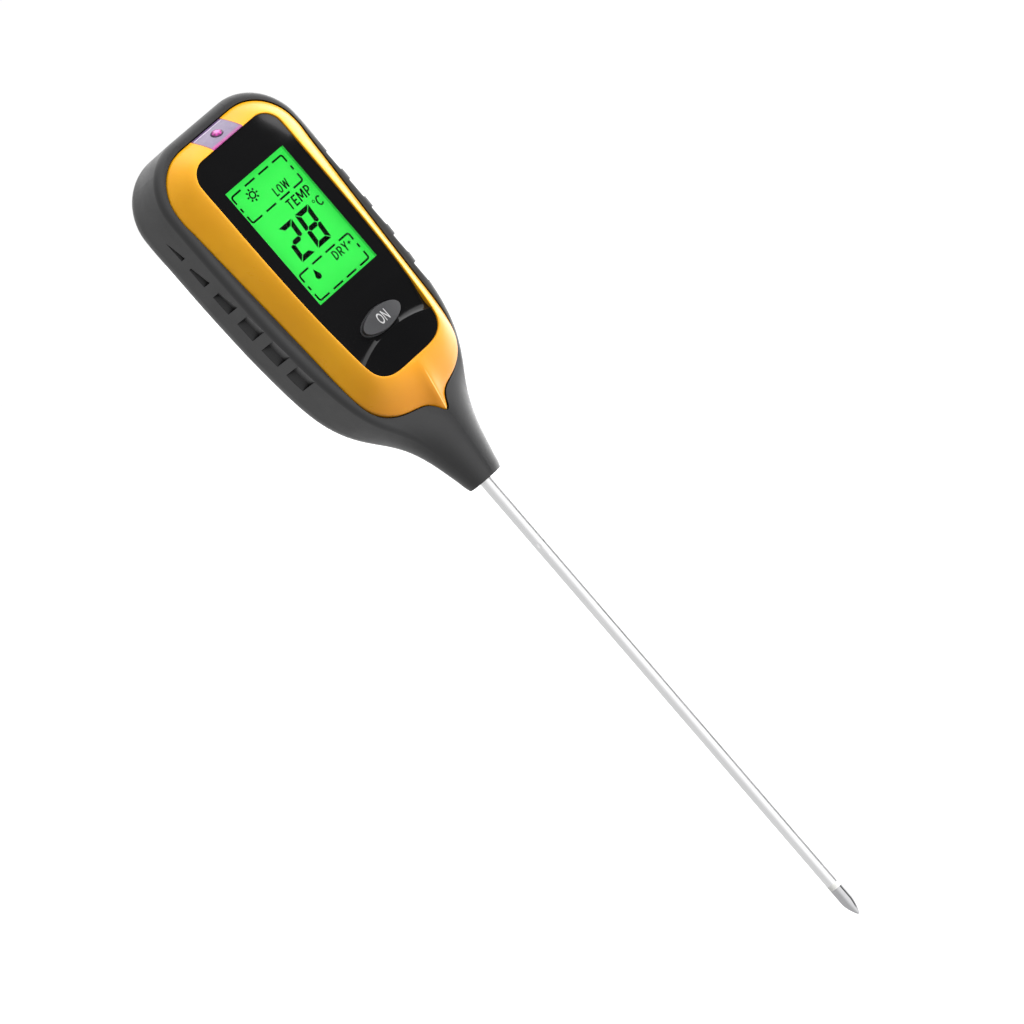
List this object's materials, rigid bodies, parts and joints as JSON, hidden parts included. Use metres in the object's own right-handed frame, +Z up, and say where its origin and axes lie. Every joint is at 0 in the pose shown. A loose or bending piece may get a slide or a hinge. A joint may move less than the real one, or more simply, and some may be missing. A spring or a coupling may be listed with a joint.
{
  "type": "soil moisture meter",
  "caption": "Hand-held digital soil meter: bevelled ring round a black panel and lit display, tapering neck and a long thin metal probe.",
  "frame": {"origin": "on the probe's axis, where the probe leaves the neck", "axes": "+Z up the case, away from the probe's point; the display faces -Y; +X is on the right as the display is read"},
  "size_m": [0.0636, 0.0379, 0.3411],
  "materials": {
    "housing": "moulded matte dark grey",
    "bezel": "satin yellow-orange",
    "panel": "gloss black",
    "clear": "clear",
    "sensor_window": "tinted lilac",
    "sensor": "magenta lens",
    "display": "backlit",
    "backlight": "diffuser",
    "white_plastic": "white",
    "elastomer": "matt",
    "key": "satin grey",
    "silicone": "matt",
    "board": "solder mask",
    "chip": "epoxy",
    "screws": "zinc plated",
    "battery": "wrapped can",
    "contacts": "nickel plated",
    "leads": "insulated wire",
    "gasket": "foam tape",
    "tube": "drawn and brushed",
    "steel": "polished",
    "insulator": "translucent",
    "bush": "matt black",
    "copper": "bare"
  },
  "bodies": {
    "meter": {"main_housing": "housing", "rear_cover": "housing", "front_bezel": "bezel", "face_panel": "panel", "display_window": "clear", "light_window": "sensor_window", "light_sensor": "sensor", "sensor_leads": "contacts", "panel_gasket": "gasket", "key_dome": "silicone", "lcd_glass": "display", "lcd_backlight": "backlight", "lcd_holder": "white_plastic", "zebra_connector": "elastomer", "main_board": "board", "board_screws": "screws", "controller_chip": "chip", "circuit_components": "chip", "battery": "battery", "battery_terminals": "contacts", "battery_snap": "chip", "battery_leads": "leads", "probe_shaft": "tube", "probe_insulator": "insulator", "probe_tip": "steel", "probe_core": "steel", "probe_liner": "insulator", "temperature_sensor": "copper", "neck_bush": "bush", "probe_collar": "contacts", "ground_washer": "contacts", "probe_leads": "leads", "case_screws": "screws"},
    "power_key": {"power_button": "key"},
    "door": {"battery_door": "housing"}
  },
  "joints": [
    {"name": "power_key_press", "type": "slide", "parent": "meter", "child": "power_key", "axis": [0, 1, 0], "range_m": [0, 0.0008], "stiffness_N_per_m": 900, "deforming": ["key_dome"]},
    {"name": "battery_door_slide", "type": "slide", "parent": "meter", "child": "door", "axis": [0, 0, -1], "range_m": [0, 0.072]}
  ]
}
